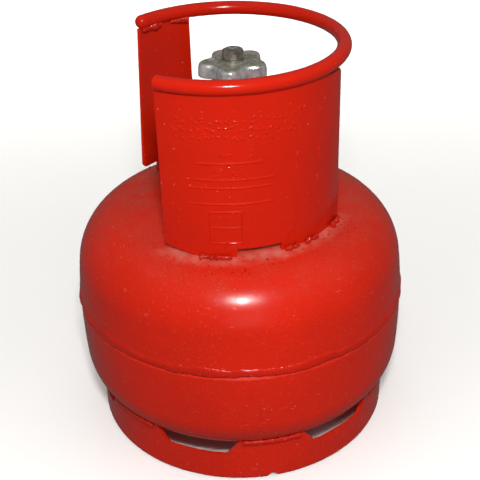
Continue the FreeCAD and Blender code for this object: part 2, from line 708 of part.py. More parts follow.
def spindle():
    """Collar and tang below, square and thread for the hand-wheel above."""
    shaft = disc(SPINDLE_RADIUS, COLLAR_TOP_Z, SPINDLE_END_Z)
    square_zone = disc(SPINDLE_RADIUS + OVERRUN, SQUARE_BASE_Z, SQUARE_TOP_Z)
    square_zone = square_zone.cut(square(SQUARE_WIDTH, SQUARE_BASE_Z, SQUARE_TOP_Z))
    shaft = shaft.cut(square_zone)
    shaft = shaft.fuse(disc(COLLAR_RADIUS, COLLAR_BASE_Z, COLLAR_TOP_Z))
    tang = Part.makeBox(TANG_WIDTH, TANG_WIDTH / 2, COLLAR_BASE_Z - TANG_BASE_Z,
                        Vector(-TANG_WIDTH / 2, -TANG_WIDTH / 4, TANG_BASE_Z))
    return shaft.fuse(tang).removeSplitter()


def valve_plug():
    """Threaded plug that the spindle's tang turns, so it climbs off its seat."""
    nose_base = SEAT_Z + DISC_HEIGHT - PLUG_LIP
    plug = disc(PLUG_NOSE_RADIUS, nose_base, PLUG_THREAD_BASE_Z)
    plug = plug.fuse(disc(PLUG_THREAD_RADIUS - RUNNING_CLEARANCE, PLUG_THREAD_BASE_Z, PLUG_TOP_Z))
    plug = plug.cut(disc(DISC_RADIUS + RUNNING_CLEARANCE, nose_base, SEAT_Z + DISC_HEIGHT))
    slot_width = TANG_WIDTH + SLOT_CLEARANCE
    slot_depth = TANG_WIDTH / 2 + SLOT_CLEARANCE
    slot_base = TANG_BASE_Z - PLUG_LIFT - SLOT_FLOOR_CLEARANCE
    slot = Part.makeBox(slot_width, slot_depth, PLUG_TOP_Z - slot_base,
                        Vector(-slot_width / 2, -slot_depth / 2, slot_base))
    return plug.cut(slot).removeSplitter()


def seat_disc():
    """Soft disc in the plug's nose, held free to swivel."""
    return disc(DISC_RADIUS, SEAT_Z, SEAT_Z + DISC_HEIGHT - RUNNING_CLEARANCE)


# ---- hand-wheel -------------------------------------------------------------

def lobed_blank(shrink, low, high):
    """The wheel's lobed plan, moved inwards by shrink."""
    blank = disc(LOBE_CENTRE_RADIUS + WHEEL_CORE_EXTRA - shrink, low, high)
    for i in range(LOBE_COUNT):
        centre = polar(LOBE_CENTRE_RADIUS, LOBE_PHASE + 360.0 / LOBE_COUNT * i, 0)
        blank = blank.fuse(disc(LOBE_RADIUS - shrink, low, high, centre))
    for i in range(LOBE_COUNT):
        azimuth = LOBE_PHASE + 360.0 / LOBE_COUNT * (i + 0.5)
        centre = polar(SCALLOP_CENTRE_RADIUS, azimuth, 0)
        blank = blank.cut(disc(SCALLOP_RADIUS + shrink, low, high, centre))
    return blank.removeSplitter()


def handwheel():
    wheel = lobed_blank(0.0, WHEEL_BASE_Z, WHEEL_TOP_Z)
    top_edges = [e for e in wheel.Edges if all(abs(v.Z - WHEEL_TOP_Z) < 1e-6 for v in e.Vertexes)]
    wheel = wheel.makeFillet(WHEEL_EDGE_RADIUS, top_edges)
    hollow = lobed_blank(WHEEL_RIM_WALL, WHEEL_BASE_Z, WHEEL_TOP_Z - WHEEL_WEB)
    hollow = hollow.cut(disc(WHEEL_HUB_RADIUS, WHEEL_BASE_Z, WHEEL_TOP_Z))
    wheel = wheel.cut(hollow)
    dish_low = WHEEL_TOP_Z - WHEEL_DISH_DEPTH
    over = WHEEL_TOP_Z + OVERRUN
    dish = [(WHEEL_HUB_RADIUS, over), (WHEEL_HUB_RADIUS, WHEEL_TOP_Z),
            (WHEEL_HUB_RADIUS + DISH_INNER_SLOPE, dish_low), (DISH_FLOOR_RADIUS, dish_low),
            (DISH_RADIUS, WHEEL_TOP_Z), (DISH_RADIUS, over)]
    wheel = wheel.cut(spin(outline(dish)))
    return wheel.cut(square(SQUARE_WIDTH, WHEEL_BASE_Z - OVERRUN, over)).removeSplitter()


def spring_washer():
    """Split washer under the nut."""
    inner = SPINDLE_RADIUS + WASHER_CLEARANCE
    ring = band(inner, WASHER_RADIUS, WHEEL_TOP_Z, WHEEL_TOP_Z + WASHER_HEIGHT)
    corner = Vector(0, -WASHER_SPLIT / 2, WHEEL_TOP_Z)
    split = Part.makeBox(WASHER_RADIUS, WASHER_SPLIT, WASHER_HEIGHT, corner)
    return ring.cut(split)


def handwheel_nut():
    low = WHEEL_TOP_Z + WASHER_HEIGHT
    nut = hexagon(WHEEL_NUT_WIDTH, low, WHEEL_NUT_TOP_Z, WHEEL_NUT_AZIMUTH)
    reach = WHEEL_NUT_WIDTH / 2 * HEX_CHAMFER_REACH
    nut = chamfered(nut, reach, low, WHEEL_NUT_TOP_Z, WHEEL_NUT_CHAMFER)
    return nut.cut(disc(SPINDLE_RADIUS, low, WHEEL_NUT_TOP_Z))


# ---- the assembly -----------------------------------------------------------

def build():
    nodes = {}
    nodes["upper_shell"] = upper_shell()
    nodes["lower_shell"] = lower_shell()
    nodes["girth_weld"] = girth_weld()
    foot = foot_ring()
    nodes["foot_ring"] = foot
    nodes["foot_joint_weld"] = foot_joint_weld(foot)
    nodes["foot_ring_welds"] = foot_ring_welds(foot)
    ring = carrying_ring()
    nodes["carrying_ring"] = ring
    front = front_guard_plate(ring)
    rear = rear_guard_plate(ring)
    nodes["front_guard_plate"] = front
    nodes["rear_guard_plate"] = rear
    nodes["front_plate_foot_welds"] = guard_foot_welds(FRONT_FOOT_WELDS, front)
    nodes["rear_plate_foot_welds"] = guard_foot_welds(REAR_FOOT_WELDS, rear)
    nodes["front_plate_ring_welds"] = ring_welds(FRONT_RING_WELDS, front, ring)
    nodes["rear_plate_ring_welds"] = ring_welds(REAR_RING_WELDS, rear, ring)
    nodes["valve_boss"] = valve_boss()
    nodes["boss_weld"] = boss_weld(nodes["valve_boss"])
    nodes["valve_body"] = valve_body()
    nodes["outlet_gasket"] = outlet_gasket()
    nodes["bonnet_gasket"] = bonnet_gasket()
    nodes["bonnet_nut"] = bonnet_nut()
    nodes["spindle_packing"] = spindle_packing()
    nodes["spindle"] = spindle()
    nodes["valve_plug"] = valve_plug()
    nodes["seat_disc"] = seat_disc()
    nodes["handwheel"] = handwheel()
    nodes["spring_washer"] = spring_washer()
    nodes["handwheel_nut"] = handwheel_nut()
    return nodes


def main():
    os.makedirs("parts", exist_ok=True)
    for name, shape in build().items():
        box = shape.BoundBox
        print(f"{name:24s} solids {len(shape.Solids)} valid {shape.isValid()} "
              f"volume {shape.Volume:10.1f} z {box.ZMin:7.2f} {box.ZMax:7.2f}")
        shape.exportStep(f"parts/{name}.step")


main()
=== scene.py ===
import json
import math

import bmesh
import bpy
import numpy as np
from mathutils import Matrix, Vector
from mathutils.bvhtree import BVHTree

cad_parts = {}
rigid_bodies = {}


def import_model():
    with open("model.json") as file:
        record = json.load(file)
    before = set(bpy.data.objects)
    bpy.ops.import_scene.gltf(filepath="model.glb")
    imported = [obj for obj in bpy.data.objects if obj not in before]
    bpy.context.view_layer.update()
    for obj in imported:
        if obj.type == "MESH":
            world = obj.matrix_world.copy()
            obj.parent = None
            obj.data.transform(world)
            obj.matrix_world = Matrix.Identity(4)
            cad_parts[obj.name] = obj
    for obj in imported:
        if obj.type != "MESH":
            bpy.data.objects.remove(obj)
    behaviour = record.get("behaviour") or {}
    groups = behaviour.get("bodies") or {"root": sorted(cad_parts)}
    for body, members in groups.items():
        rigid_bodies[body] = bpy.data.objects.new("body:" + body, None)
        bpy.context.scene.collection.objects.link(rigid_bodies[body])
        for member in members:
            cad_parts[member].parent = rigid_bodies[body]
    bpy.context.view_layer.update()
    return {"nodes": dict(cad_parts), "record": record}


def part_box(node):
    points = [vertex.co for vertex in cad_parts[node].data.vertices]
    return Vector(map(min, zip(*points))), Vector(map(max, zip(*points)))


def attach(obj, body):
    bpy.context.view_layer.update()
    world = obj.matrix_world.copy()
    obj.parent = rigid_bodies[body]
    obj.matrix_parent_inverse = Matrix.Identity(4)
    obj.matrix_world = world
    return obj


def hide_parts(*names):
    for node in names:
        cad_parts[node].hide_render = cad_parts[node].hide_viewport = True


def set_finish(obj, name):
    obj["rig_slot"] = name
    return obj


# A small red LPG cylinder, dressed around its CAD frame.  Metres, +Z up, -Y is
# the front.  Azimuths are in degrees from -Y, positive towards +X.

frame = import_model()
NODES = frame["nodes"]
RANDOM = np.random.default_rng(41)

MM = 0.001
BEAD_PITCH = 1.9 * MM


# ---- sizes read from the CAD model ------------------------------------------

def low(node):
    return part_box(node)[0]


def high(node):
    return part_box(node)[1]


def mesh_points(node):
    """All vertices of a CAD node as an array."""
    data = NODES[node].data
    points = np.empty(len(data.vertices) * 3)
    data.vertices.foreach_get("co", points)
    return points.reshape(-1, 3)


GUARD_X = high("carrying_ring").x - high("carrying_ring").y
GUARD_RADIUS = -low("front_guard_plate").y
GUARD_WALL = 2.5 * MM
RING_Z = (low("carrying_ring").z + high("carrying_ring").z) / 2
ROD_RADIUS = (high("carrying_ring").z - low("carrying_ring").z) / 2
PLATE_FOOT_Z = low("front_guard_plate").z
FOOT_RADIUS = high("foot_ring").x
PER_DEGREE = math.radians(1) * GUARD_RADIUS

# The guard's edges, as azimuths that the CAD model has too.
FRONT_TAB_START = -14.8
SLOT_START, SLOT_END = 2.5, 24.4
REAR_TAB_START, REAR_TAB_END = -152.0, -134.0


def azimuth_of(points, centre_x=0.0):
    """Azimuths of points about a vertical axis, in degrees from -Y."""
    return np.degrees(np.arctan2(points[:, 0] - centre_x, -points[:, 1]))


def polar(radius, azimuth, z, centre_x=0.0):
    """Points at a radius, azimuth and height; the arguments broadcast."""
    angle = np.radians(azimuth)
    return np.stack(np.broadcast_arrays(
        centre_x + radius * np.sin(angle), -radius * np.cos(angle), z), axis=-1)


# ---- noise and mesh tools ---------------------------------------------------

def ripple(t, seed, octaves=4, base=1.0):
    """Smooth repeatable 1-D noise in about -1..1, periodic over 360."""
    rng = np.random.default_rng(seed)
    total = np.zeros_like(np.asarray(t, float))
    size = 0.0
    for octave in range(octaves):
        waves = round(base * 2 ** octave)
        weight = 0.6 ** octave
        for _ in range(3):
            cycles = waves + int(rng.integers(0, max(2, waves)))
            total = total + weight * np.sin(np.radians(t) * cycles + rng.uniform(0, 2 * math.pi))
            size += weight * 0.5
    return total / size


def step(value, start, end):
    """Smooth 0..1 between start and end."""
    share = np.clip((value - start) / (end - start), 0.0, 1.0)
    return share * share * (3 - 2 * share)


def link_mesh(name, data):
    """Put a mesh in the scene as a smooth-shaded object."""
    data.polygons.foreach_set("use_smooth", [True] * len(data.polygons))
    obj = bpy.data.objects.new(name, data)
    bpy.context.scene.collection.objects.link(obj)
    return obj


def make_object(name, points, faces):
    data = bpy.data.meshes.new(name)
    data.from_pydata([tuple(p) for p in np.asarray(points).reshape(-1, 3)], [], faces)
    data.validate()
    shape = bmesh.new()
    shape.from_mesh(data)
    bmesh.ops.recalc_face_normals(shape, faces=shape.faces)
    shape.to_mesh(data)
    shape.free()
    return link_mesh(name, data)


def loft_faces(rings, size, closed):
    """Faces between successive closed sections; ends are capped unless closed."""
    faces = []
    for i in range(rings if closed else rings - 1):
        a = i * size
        b = ((i + 1) % rings) * size
        for j in range(size):
            k = (j + 1) % size
            faces.append((a + j, a + k, b + k, b + j))
    if not closed:
        faces.append(tuple(range(size)))
        faces.append(tuple(range(rings * size - 1, (rings - 1) * size - 1, -1)))
    return faces


def loft(name, sections, closed=False):
    """A closed mesh through an array of sections, (rings, points, 3)."""
    sections = np.asarray(sections)
    rings, size = sections.shape[:2]
    return make_object(name, sections, loft_faces(rings, size, closed))


def select_only(objects):
    for other in bpy.context.selected_objects:
        other.select_set(False)
    for obj in objects:
        obj.select_set(True)
    bpy.context.view_layer.objects.active = objects[0]


def join(name, pieces):
    select_only(pieces)
    if len(pieces) > 1:
        bpy.ops.object.join()
    pieces[0].name = name
    pieces[0].data.name = name
    return pieces[0]


def sharp_by_angle(obj, degrees):
    """Smooth shading with creases kept at real corners."""
    select_only([obj])
    bpy.ops.object.shade_smooth_by_angle(angle=math.radians(degrees))
    return obj


def stand_in(piece, body, slot, *nodes):
    """Put a piece in the place of CAD nodes."""
    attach(piece, body)
    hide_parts(*nodes)
    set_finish(piece, slot)
    return piece


def islands(node):
    """The separate solids of a CAD node, as arrays of vertices."""
    shape = bmesh.new()
    shape.from_mesh(NODES[node].data)
    bmesh.ops.remove_doubles(shape, verts=shape.verts, dist=1e-6)
    found = []
    waiting = set(shape.verts)
    while waiting:
        first = waiting.pop()
        stack = [first]
        group = [first]
        while stack:
            vertex = stack.pop()
            for edge in vertex.link_edges:
                other = edge.other_vert(vertex)
                if other in waiting:
                    waiting.remove(other)
                    stack.append(other)
                    group.append(other)
        found.append(np.array([v.co[:] for v in group]))
    shape.free()
    return sorted(found, key=lambda g: (round(g[:, 0].mean(), 4), round(g[:, 1].mean(), 4)))


# ---- weld beads -------------------------------------------------------------

def bead_ring(path, width, height, seed, up, rough=1.0):
    """Sections of a lumpy bead along a path of points, its ends domed."""
    path = np.asarray(path)
    steps = np.linalg.norm(np.diff(path, axis=0), axis=1)
    run = np.concatenate([[0.0], np.cumsum(steps)])
    total = run[-1]
    forward = np.gradient(path, axis=0)
    forward /= np.linalg.norm(forward, axis=1)[:, None]
    side = np.cross(forward, up)
    side /= np.linalg.norm(side, axis=1)[:, None]
    rise = np.cross(side, forward)
    inset = np.minimum(run, total - run)
    reach = min(width * 0.9, total * 0.45)
    dome = np.sqrt(np.clip(1 - (1 - np.clip(inset / reach, 0, 1)) ** 2, 0.0025, 1))
    rng = np.random.default_rng(seed)
    wave = run / total * 360.0
    lump = 0.92 + 0.26 * rough * ripple(wave, seed, 4, max(1, total / 0.012))
    scale = 0.07 * rough * np.sin(2 * math.pi * run / BEAD_PITCH + rng.uniform(0, 6))
    drift = 0.22 * rough * width * ripple(wave, seed + 7, 3, max(1, total / 0.015))
    angles = np.linspace(0, 2 * math.pi, 14, endpoint=False)
    sections = []
    for i, centre in enumerate(path):
        w = width * dome[i] * (lump[i] + scale[i])
        h = height * dome[i] * (lump[i] + scale[i] * 1.6)
        across = np.cos(angles)[:, None] * side[i] * w
        upward = np.sin(angles)[:, None] * rise[i] * h
        sections.append(centre + side[i] * drift[i] + across + upward)
    return np.array(sections)


def arc_bead(name, points, centre_x, seed, facing, grow, rough):
    """A bead along the arc that a trimmed CAD bead covers."""
    az = azimuth_of(points, centre_x)
    if az.max() - az.min() > 180:
        az = np.where(az < 0, az + 360, az)
    radii = np.hypot(points[:, 0] - centre_x, points[:, 1])
    z_low, z_high = points[:, 2].min(), points[:, 2].max()
    radius = (radii.min() + radii.max()) / 2
    z = (z_low + z_high) / 2
    width = (radii.max() - radii.min()) / 2 * grow
    height = (z_high - z_low) / 2 * grow
    margin = math.degrees(0.4 * MM / radius)
    length = math.radians(az.max() - az.min()) * radius
    turns = np.linspace(az.min() + margin, az.max() - margin, max(14, int(length / (0.45 * MM))))
    path = polar(radius, turns, z, centre_x)
    up = np.array((0.0, 0.0, 1.0)) if facing > 0 else np.array((0.0, 0.0, -1.0))
    return loft(name, bead_ring(path, width, height, seed, up, rough))


def weld_set(node, centre_x, seed, facing=1, grow=0.98, rough=1.0):
    """One lumpy bead in the place of each bead of a CAD weld node."""
    pieces = [arc_bead(f"{node}_{i}", points, centre_x, seed + 3 * i, facing, grow, rough)
              for i, points in enumerate(islands(node))]
    return stand_in(join(f"{node}_beads", pieces), "tank", "weld_paint", node)


def girth_bead():
    """The seam: a rounded ridge with wavy toes, rippled, with three restarts."""
    turns = np.linspace(-180, 180, 1440, endpoint=False)
    top = high("girth_weld").z
    foot = low("girth_weld").z
    crest = high("girth_weld").x
    high_wall = crest - 1.36 * MM
    low_wall = crest - 1.10 * MM
    high_toe = top - 0.7 * MM + 1.1 * MM * ripple(turns, 11, 5, 9)
    low_toe = foot + 0.2 * MM + 1.0 * MM * ripple(turns, 12, 5, 10)
    restart = np.zeros(len(turns))
    for azimuth, spread, size in ((4.5, 1.1, 1.0), (15.5, 1.6, 0.8), (-118, 1.5, 0.7)):
        restart += size * np.exp(-((turns - azimuth) / spread) ** 2)
    scales = np.sin(np.radians(turns) * 372 + 1.5 * ripple(turns, 15, 2, 8))
    proud = 1.08 * MM + 0.3 * MM * ripple(turns, 13, 5, 14) + 0.06 * MM * scales
    proud += 0.25 * MM * restart
    proud = np.minimum(proud, 1.42 * MM)
    shares = np.linspace(0, 1, 13)
    sections = []
    for i, turn in enumerate(turns):
        z = low_toe[i] + (high_toe[i] - low_toe[i]) * shares
        shape = np.clip(1 - np.abs(2 * shares - 1) ** 3.4, 0, 1)
        root = low_wall + (high_wall - low_wall) * shares - 0.25 * MM
        wobble = 0.06 * MM * math.sin(turn * 1.7) * np.sin(shares * 9)
        outer = polar(root + proud[i] * shape + wobble, turn, z)
        inner = polar(high_wall - 2.2 * MM, turn, np.array([high_toe[i], low_toe[i]]))
        sections.append(np.concatenate([outer, inner]))
    return stand_in(loft("girth_bead", sections, closed=True), "tank", "weld_paint", "girth_weld")


def foot_joint_bead():
    """The upright bead that closes the rolled foot ring."""
    stations = 90
    end_gap = 0.3 * MM
    points = mesh_points("foot_joint_weld")
    az = azimuth_of(points)
    middle = np.degrees(np.arctan2(np.sin(np.radians(az)).mean(), np.cos(np.radians(az)).mean()))
    heights = np.linspace(points[:, 2].min() + end_gap, points[:, 2].max() - end_gap, stations)
    path = polar(FOOT_RADIUS - 0.9 * MM, middle, heights)
    outward = polar(1.0, np.array([middle]), 0.0)[0]
    sections = bead_ring(path, 2.6 * MM, 1.7 * MM, 77, outward)
    return stand_in(loft("foot_joint_bead", sections), "tank", "weld_paint", "foot_joint_weld")


def spatter():
    """Droplets of weld metal on the dome round the guard's feet."""
    shape = bmesh.new()
    shape.from_mesh(NODES["upper_shell"].data)
    dome = BVHTree.FromBMesh(shape)
    shape.free()
    pieces = []
    front_drops, drops = 34, 46
    for index in range(drops):
        front = index < front_drops
        turn = RANDOM.uniform(-26, 66) if front else RANDOM.uniform(-165, -120)
        out = RANDOM.choice([-1, 1], p=[0.25, 0.75]) * RANDOM.uniform(4, 14) * MM
        spot = polar(GUARD_RADIUS + out, turn, high("upper_shell").z + 10 * MM, GUARD_X)
        hit = dome.ray_cast(Vector(spot), Vector((0, 0, -1)))[0]
        pieces.append(droplet(f"drop_{index}", hit, RANDOM.uniform(0.35, 0.8) * MM))
    piece = join("weld_spatter", pieces)
    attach(piece, "tank")
    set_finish(piece, "weld_paint")


def droplet(name, place, size):
    """A flattened ball of metal."""
    shape = bmesh.new()
    bmesh.ops.create_icosphere(shape, subdivisions=2, radius=size)
    for vertex in shape.verts:
        vertex.co.z *= 0.75
        vertex.co += Vector(place)
    data = bpy.data.meshes.new(name)
    shape.to_mesh(data)
    shape.free()
    return link_mesh(name, data)


# ---- guard plates -----------------------------------------------------------

def segment_relief(u, z, start, end, half, height):
    """A raised line between two (sideways, z) points, in metres."""
    along = np.array(end) - np.array(start)
    length = max(along @ along, 1e-12)
    share = np.clip(((u - start[0]) * along[0] + (z - start[1]) * along[1]) / length, 0, 1)
    distance = np.hypot(u - start[0] - share * along[0], z - start[1] - share * along[1])
    return height * (1 - step(distance, half * 0.35, half * 1.5))


def plate_marks(foot, top):
    """A made-up stamping: rules, a ruled box, loose pips, strokes and dashes.

    A mark is two (azimuth, z) ends and a half width.  Heights are shares of the
    plate's own height, measured down from its top edge.
    """
    height = top - foot
    marks = []

    def rule(az_a, az_b, share_a, share_b, half=0.34 * MM):
        marks.append(((az_a, top - share_a * height), (az_b, top - share_b * height), half))

    rule(-15, 15, 0.4, 0.4)
    for share in (0.5, 0.55, 0.65):
        rule(-20, 20, share, share)
    for share in (0.7, 0.8, 0.9):
        rule(-10, 5, share, share, 0.32 * MM)
    for az in (-10, 5):
        rule(az, az, 0.7, 0.9, 0.28 * MM)
    pip_zones = ((40, (-25, 40), (0.10, 0.25)), (20, (25, 55), (0.75, 0.95)),
                 (16, (-28, -16), (0.50, 0.95)), (14, (-10, 25), (0.25, 0.50)))
    for count, az_span, share_span in pip_zones:
        for _ in range(count):
            az = RANDOM.uniform(*az_span)
            share = RANDOM.uniform(*share_span)
            rule(az, az + 0.2, share, share + RANDOM.uniform(-0.003, 0.003),
                 RANDOM.uniform(0.34, 0.55) * MM)
    for _ in range(10):
        az = RANDOM.uniform(-28, 50)
        share = RANDOM.uniform(0.1, 0.95)
        rule(az, az + RANDOM.uniform(-1.4, 1.4), share, share + RANDOM.uniform(0.01, 0.05), 0.42 * MM)
    for share in (0.15, 0.20, 0.25):
        az = -24
        while az < 35:
            long = RANDOM.uniform(0.3, 1.5)
            sag = RANDOM.uniform(-0.013, 0.013)
            lean = RANDOM.uniform(-0.010, 0.010)
            rule(az, az + long, share + sag, share + sag + lean, RANDOM.uniform(0.3, 0.5) * MM)
            az += long + RANDOM.uniform(1.4, 3.4)
    return marks


def relief_map(azimuth, z, marks, height):
    """Height of the stamping over a grid of azimuths and heights."""
    u = azimuth * PER_DEGREE
    total = np.zeros_like(z)
    for (az_a, z_a), (az_b, z_b), half in marks:
        start = (az_a * PER_DEGREE, z_a)
        end = (az_b * PER_DEGREE, z_b)
        pad = 3 * half
        near = (u > min(start[0], end[0]) - pad) & (u < max(start[0], end[0]) + pad)
        near &= (z > min(z_a, z_b) - pad) & (z < max(z_a, z_b) + pad)
        if near.any():
            bump = segment_relief(u[near], z[near], start, end, half, height)
            total[near] = np.maximum(total[near], bump)
    return total


def quarter(r, z, radius, start):
    """Points of a quarter round about (r, z), from a start angle in degrees."""
    turn = np.radians(start + np.linspace(0, 90, 5))
    return np.stack([r + radius * np.cos(turn), z + radius * np.sin(turn)], axis=1)


def plate_sections(columns, bottom, top, rows, marks, warp, seed, lean=None):
    """Closed sections of a bent sheet: outer face, rounded rims, inner face."""
    edge = 0.7 * MM
    dip = 0.55 * MM
    outer = GUARD_RADIUS - dip
    inner = GUARD_RADIUS - GUARD_WALL
    # rows bunch near the foot, where the lower edge steps, and are even above
    steady = bottom.max() + 5 * MM
    lower_rows = np.linspace(0, 1, 14)[:-1]
    upper_rows = np.linspace(0, 1, rows)
    foot = (bottom + edge)[:, None]
    head = (top - edge)[:, None]
    grid_z = np.hstack([foot + (steady - foot) * lower_rows, steady + (head - steady) * upper_rows])
    grid_az = np.repeat(columns[:, None], grid_z.shape[1], axis=1)
    relief = relief_map(grid_az, grid_z, marks, dip * 0.92)
    wave = warp * ripple(grid_az * 2.0 + grid_z * 900, seed, 2, 1)
    face_r = outer + relief + wave
    sections = []
    for i, az in enumerate(columns):
        z_low, z_high = bottom[i] + edge, top[i] - edge
        face = np.stack([face_r[i], grid_z[i]], axis=1)
        over = quarter(outer - edge, z_high, edge, 0)
        behind = quarter(inner + edge, z_high, edge, 90)
        back = np.stack([np.full(10, inner), np.linspace(z_high, z_low, 10)], axis=1)
        under = quarter(inner + edge, z_low, edge, 180)
        front = quarter(outer - edge, z_low, edge, 270)
        loop = np.concatenate([face, over[1:], behind[1:], back[1:-1], under[1:], front[1:-1]])
        turn = az if lean is None else az + lean(az, loop[:, 1])
        sections.append(polar(loop[:, 0], turn, loop[:, 1], GUARD_X))
    return np.array(sections)


def rounded_ends(sections):
    """Thin the first and last sections so the sheet's ends are rounded."""
    middle_r = GUARD_RADIUS - GUARD_WALL / 2 - 0.3 * MM
    sections = sections.copy()
    for end in (sections[0], sections[-1]):
        radial = np.hypot(end[:, 0] - GUARD_X, end[:, 1])
        scale = (middle_r + (radial - middle_r) * 0.45) / radial
        end[:, 0] = GUARD_X + (end[:, 0] - GUARD_X) * scale
        end[:, 1] *= scale
    return sections


# Degrees: the step between two columns at a cut edge, and the end columns' width.
HAIR = 0.05
END_COLUMN = 0.35


def plate_columns(node, cuts, spacing, clear):
    """A plate's column azimuths: even ones, plus its ends and its cut edges."""
    az = azimuth_of(mesh_points(node), GUARD_X)
    start, end = az.min(), az.max()
    edges = [start, start + END_COLUMN, *cuts, end - END_COLUMN, end]
    inside = np.arange(start + 2 * END_COLUMN, end - 2 * END_COLUMN, spacing)
    keep = [a for a in inside if min(abs(a - e) for e in edges) > clear]
    return np.array(sorted(keep + edges))


def corner_drop(distance, radius):
    """How far a rounded corner has fallen, by distance in from the sheet's end."""
    reach = np.clip(radius - distance, 0, radius)
    return radius - np.sqrt(radius ** 2 - reach ** 2)


def finish_plate(name, sections, node):
    piece = sharp_by_angle(loft(name, rounded_ends(sections)), 50)
    return stand_in(piece, "tank", "guard_paint", node)


def front_plate():
    """The wide stamped plate: a raised left corner, a slot, and a falling right end."""
    cuts = [FRONT_TAB_START, SLOT_START, SLOT_START + HAIR, SLOT_END - HAIR, SLOT_END]
    columns = plate_columns("front_guard_plate", cuts, 0.3, 0.12)
    start, end = columns[0], columns[-1]
    foot = PLATE_FOOT_Z - 0.4 * MM
    left_rise, right_drop, slot_rise = 4.7 * MM, 1.2 * MM, 5.4 * MM
    bottom = np.full(len(columns), foot)
    left = columns < FRONT_TAB_START
    bottom[left] += left_rise * (FRONT_TAB_START - columns[left]) / (FRONT_TAB_START - start)
    right = columns >= SLOT_END
    bottom[right] -= right_drop * (columns[right] - SLOT_END) / (end - SLOT_END)
    slot = (columns > SLOT_START + HAIR / 2) & (columns < SLOT_END - HAIR / 2)
    bottom[slot] = PLATE_FOOT_Z + slot_rise
    top = RING_Z - ROD_RADIUS + 0.75 * MM
    tops = top - 2.4 * MM * step(columns, 46, 61)
    tops -= corner_drop((end - columns) * PER_DEGREE, 5.0 * MM)
    tops -= corner_drop((columns - start) * PER_DEGREE, 1.6 * MM)
    sections = plate_sections(columns, bottom, tops, 215, plate_marks(foot, top), 0.1 * MM, 31)
    return finish_plate("front_plate", sections, "front_guard_plate")


def rear_plate():
    """The narrow plate: one tab at its foot, rounded corners, leaning as it rises."""
    cuts = [REAR_TAB_START - HAIR, REAR_TAB_START, REAR_TAB_END, REAR_TAB_END + HAIR]
    columns = plate_columns("rear_guard_plate", cuts, 0.7, 0.2)
    start, end = columns[0], columns[-1]
    edge_z = PLATE_FOOT_Z + 6.4 * MM
    top = RING_Z - ROD_RADIUS + 0.9 * MM
    bottom = np.full(len(columns), low("rear_guard_plate").z - 0.3 * MM)
    off_tab = (columns < REAR_TAB_START - HAIR / 2) | (columns > REAR_TAB_END + HAIR / 2)
    from_end = np.minimum(columns - start, end - columns) * PER_DEGREE
    bottom[off_tab] = edge_z + corner_drop(from_end[off_tab], 5.0 * MM)

    def lean(azimuth, z):
        share = (azimuth - start) / (end - start)
        return -5.2 * step(share, 0.3, 1.0) * np.clip((z - edge_z) / (top - edge_z), 0, 1)

    tops = np.full(len(columns), top)
    sections = plate_sections(columns, bottom, tops, 40, [], 0.12 * MM, 37, lean)
    return finish_plate("rear_plate", sections, "rear_guard_plate")


def carrying_rod():
    """The rod, bent by hand round a former: a little uneven, its ends ground."""
    ordered = np.sort(azimuth_of(mesh_points("carrying_ring"), GUARD_X) % 360)
    widest = int(np.argmax(np.diff(ordered, append=ordered[0] + 360)))
    span_start = ordered[(widest + 1) % len(ordered)]
    span_end = ordered[widest] + (0 if ordered[widest] > span_start else 360)
    radius = GUARD_RADIUS - 1.5 * MM
    turns = np.linspace(span_start, span_end, 420)
    length = math.radians(span_end - span_start) * radius
    run = np.linspace(0, length, len(turns))
    rod = ROD_RADIUS * (1 - 0.006 + 0.004 * ripple(turns, 5, 3, 5))
    square = np.sqrt(1 - (1 - np.clip(run / (1.3 * MM), 0, 1)) ** 2)
    start_cap = 0.72 + 0.28 * square
    dome_run = np.clip((length - run) / ROD_RADIUS, 0, 1)
    end_cap = np.sqrt(np.clip(1 - (1 - dome_run) ** 2, 0.004, 1))
    rod = rod * start_cap * end_cap
    around = np.linspace(0, 2 * math.pi, 40, endpoint=False)
    sections = [polar(radius + size * np.cos(around), turn, RING_Z + size * np.sin(around), GUARD_X)
                for turn, size in zip(turns, rod)]
    piece = loft("carrying_rod", end_rings(np.array(sections)))
    return stand_in(piece, "tank", "guard_paint", "carrying_ring")


def end_rings(sections):
    """Add rings to both ends that shrink almost to a point."""
    shrink = np.array((0.66, 0.33, 0.04))[:, None, None]

    def caps(section):
        middle = section.mean(axis=0)
        return middle + (section - middle) * shrink

    return np.concatenate([caps(sections[0])[::-1], sections, caps(sections[-1])])


# ---- valve ------------------------------------------------------------------

def lathe(name, profile):
    """A closed turned shape from a (radius, z) outline."""
    sections = []
    for turn in np.linspace(0, 360, 96, endpoint=False):
        sections.append(np.array([polar(max(r, 1e-5), turn, z) for r, z in profile]))
    return loft(name, sections, closed=True)


def eased(points, radius):
    """Round each corner of a closed (radius, z) outline."""
    result = []
    total = len(points)
    for i, point in enumerate(points):
        here = np.array(point)
        before = np.array(points[i - 1]) - here
        after = np.array(points[(i + 1) % total]) - here
        reach = min(radius, np.linalg.norm(before) * 0.45, np.linalg.norm(after) * 0.45)
        a = here + before / np.linalg.norm(before) * reach
        b = here + after / np.linalg.norm(after) * reach
        for s in np.linspace(0, 1, 4):
            result.append(tuple((1 - s) ** 2 * a + 2 * s * (1 - s) * here + s * s * b))
    return result


def turned(name, points, rounding):
    """A lathed solid from a (radius, z) outline and a rounding in millimetres."""
    return lathe(name, eased([(r * MM, z * MM) for r, z in points], rounding * MM))


